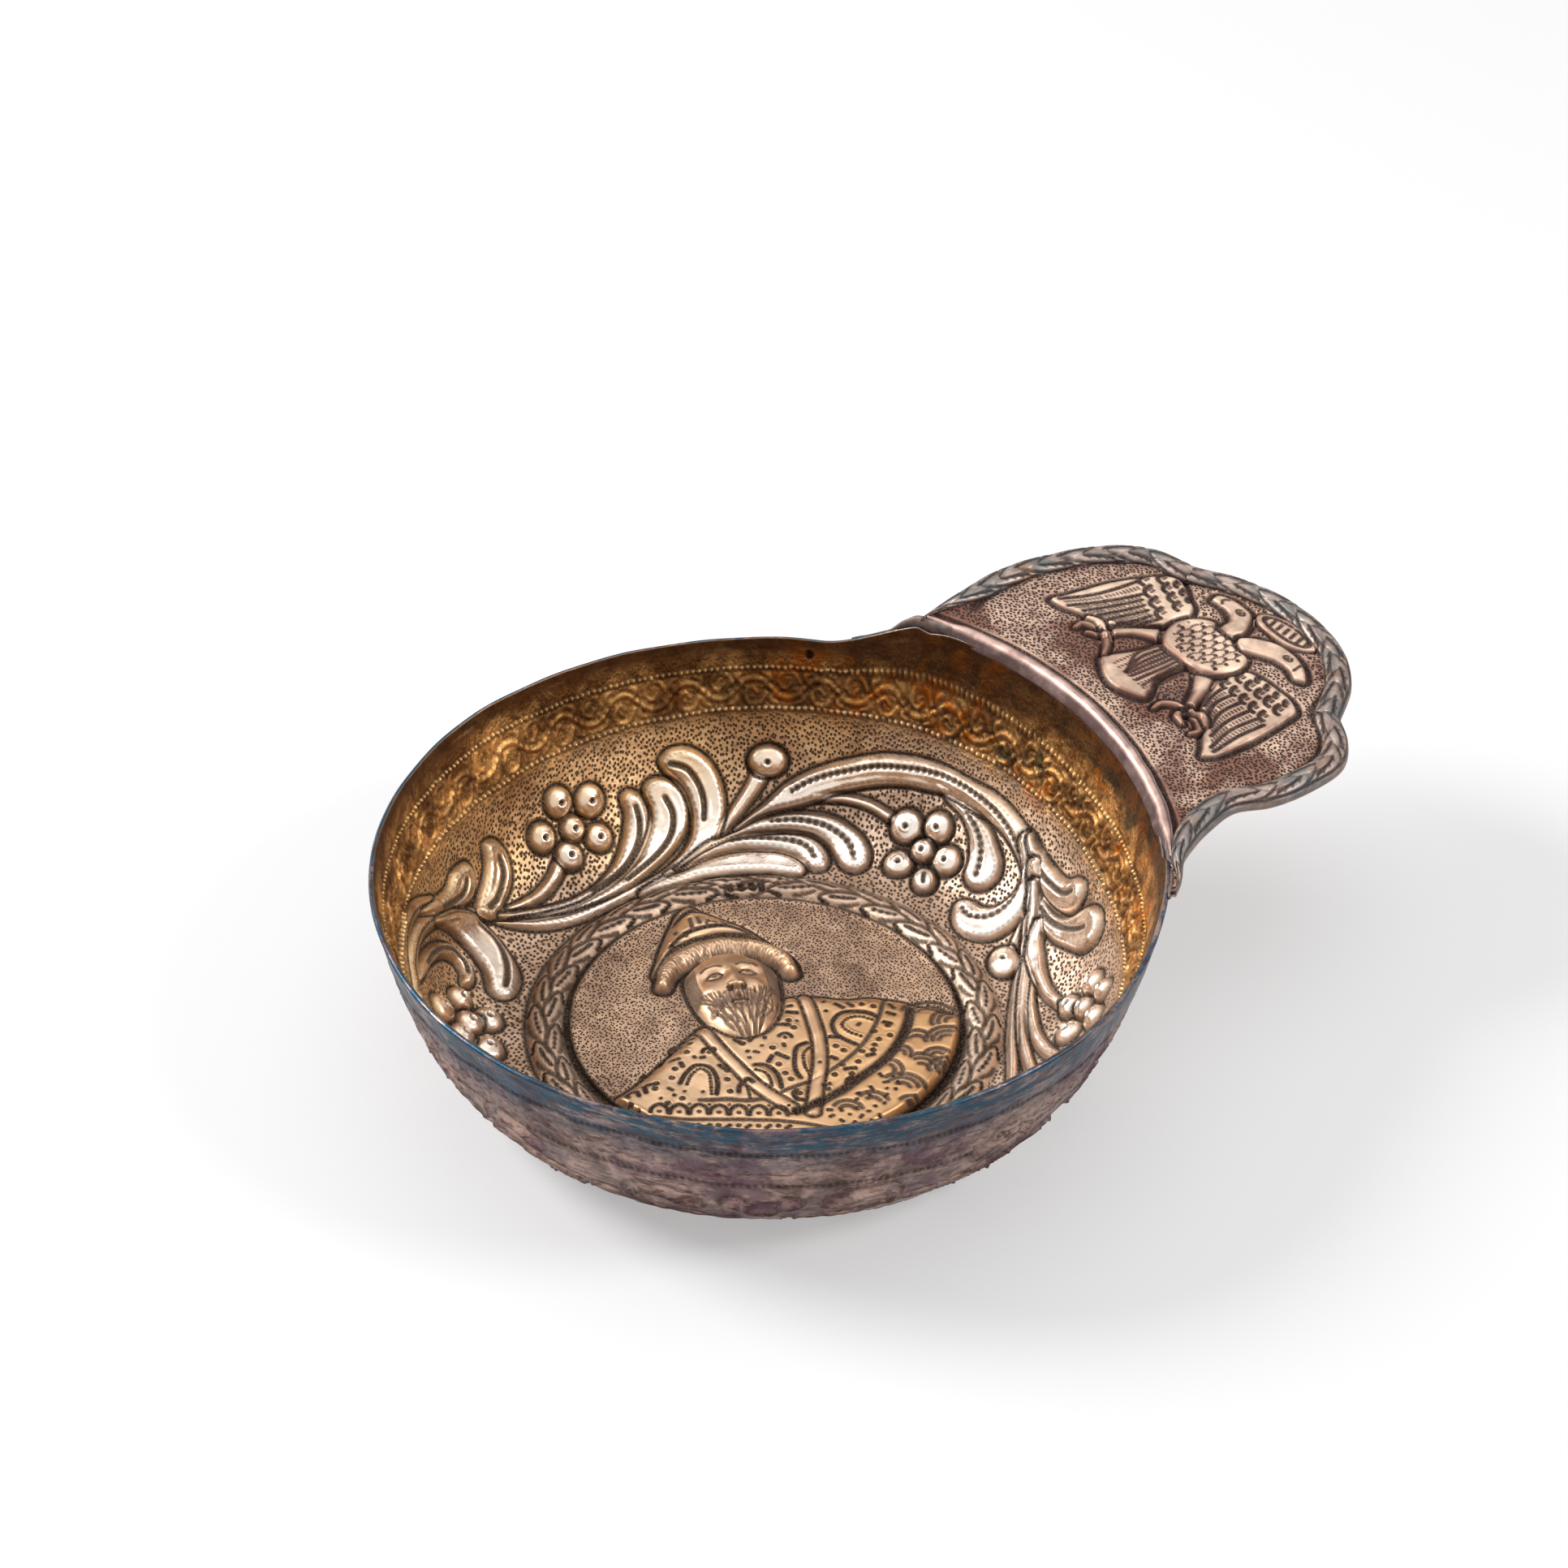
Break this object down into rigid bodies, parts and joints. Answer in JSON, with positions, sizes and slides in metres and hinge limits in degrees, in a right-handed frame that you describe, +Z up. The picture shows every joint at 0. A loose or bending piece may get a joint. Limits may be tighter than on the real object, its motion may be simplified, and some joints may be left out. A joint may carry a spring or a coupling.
{
  "type": "kovsh",
  "caption": "Shallow round chased-metal drinking bowl with a flat lobed handle, a medallion in a laurel ring on its floor and bead rows round its wall.",
  "frame": {"origin": "middle of the bowl's flat base, on the plane it stands on", "axes": "+Z up, +X along the handle away from the bowl, +Y to the left when looking along the handle"},
  "size_m": [0.166, 0.12, 0.0398],
  "materials": {
    "parcel_gilt_silver": "worn gilding over silver, dark in the hollows",
    "pale_silver": "polished relief on a punched ground",
    "tarnished_silver": "tarnished, brown and violet"
  },
  "bodies": {
    "root": {"bowl": "parcel_gilt_silver", "medallion": "pale_silver", "handle_plate": "tarnished_silver", "root_moulding": "tarnished_silver", "border_left": "tarnished_silver", "border_end": "tarnished_silver", "border_right": "tarnished_silver"}
  },
  "joints": []
}
